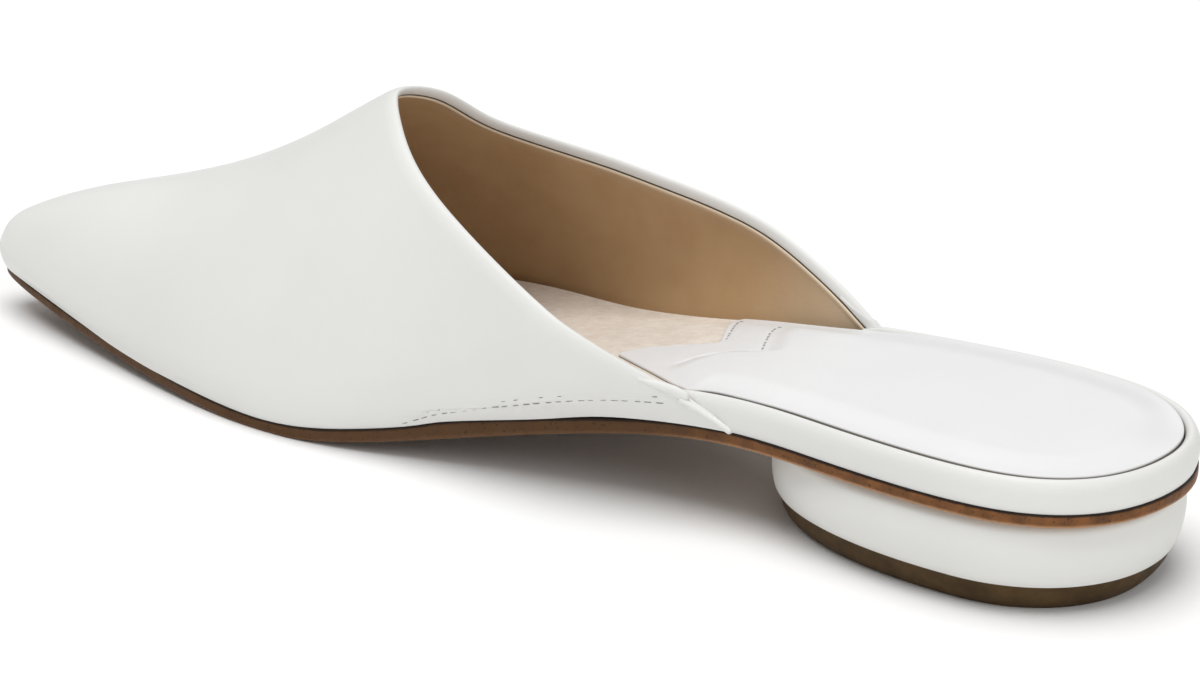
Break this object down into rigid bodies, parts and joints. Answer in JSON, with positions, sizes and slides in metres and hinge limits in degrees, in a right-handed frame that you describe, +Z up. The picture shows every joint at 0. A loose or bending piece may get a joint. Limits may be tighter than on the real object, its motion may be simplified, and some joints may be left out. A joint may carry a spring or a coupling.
{
  "type": "mule shoe",
  "caption": "Pointed-toe mule for the right foot: backless leather upper on a flat sole with a low covered heel.",
  "frame": {"origin": "middle of the shoe's bounding box in plan, on the ground", "axes": "+Z up, +Y towards the toe, +X to the wearer's right, the outer side of this right shoe"},
  "size_m": [0.0778, 0.2692, 0.0634],
  "materials": {
    "white_leather": "smooth satin white leather",
    "heel_cover": "smooth white leather stretched over the heel block",
    "sock_leather": "soft padded white sock leather",
    "suede": "pinkish beige microfibre suede",
    "lining": "smooth tan lining leather",
    "sole_edge": "stained and burnished brown sole edge",
    "heel_rubber": "matt dark brown rubber",
    "thread": "twisted polyester thread"
  },
  "bodies": {
    "root": {"outsole": "sole_edge", "heel_block": "heel_cover", "top_piece": "heel_rubber", "footbed_rim": "white_leather", "insole": "sock_leather", "upper": "white_leather"}
  },
  "joints": []
}
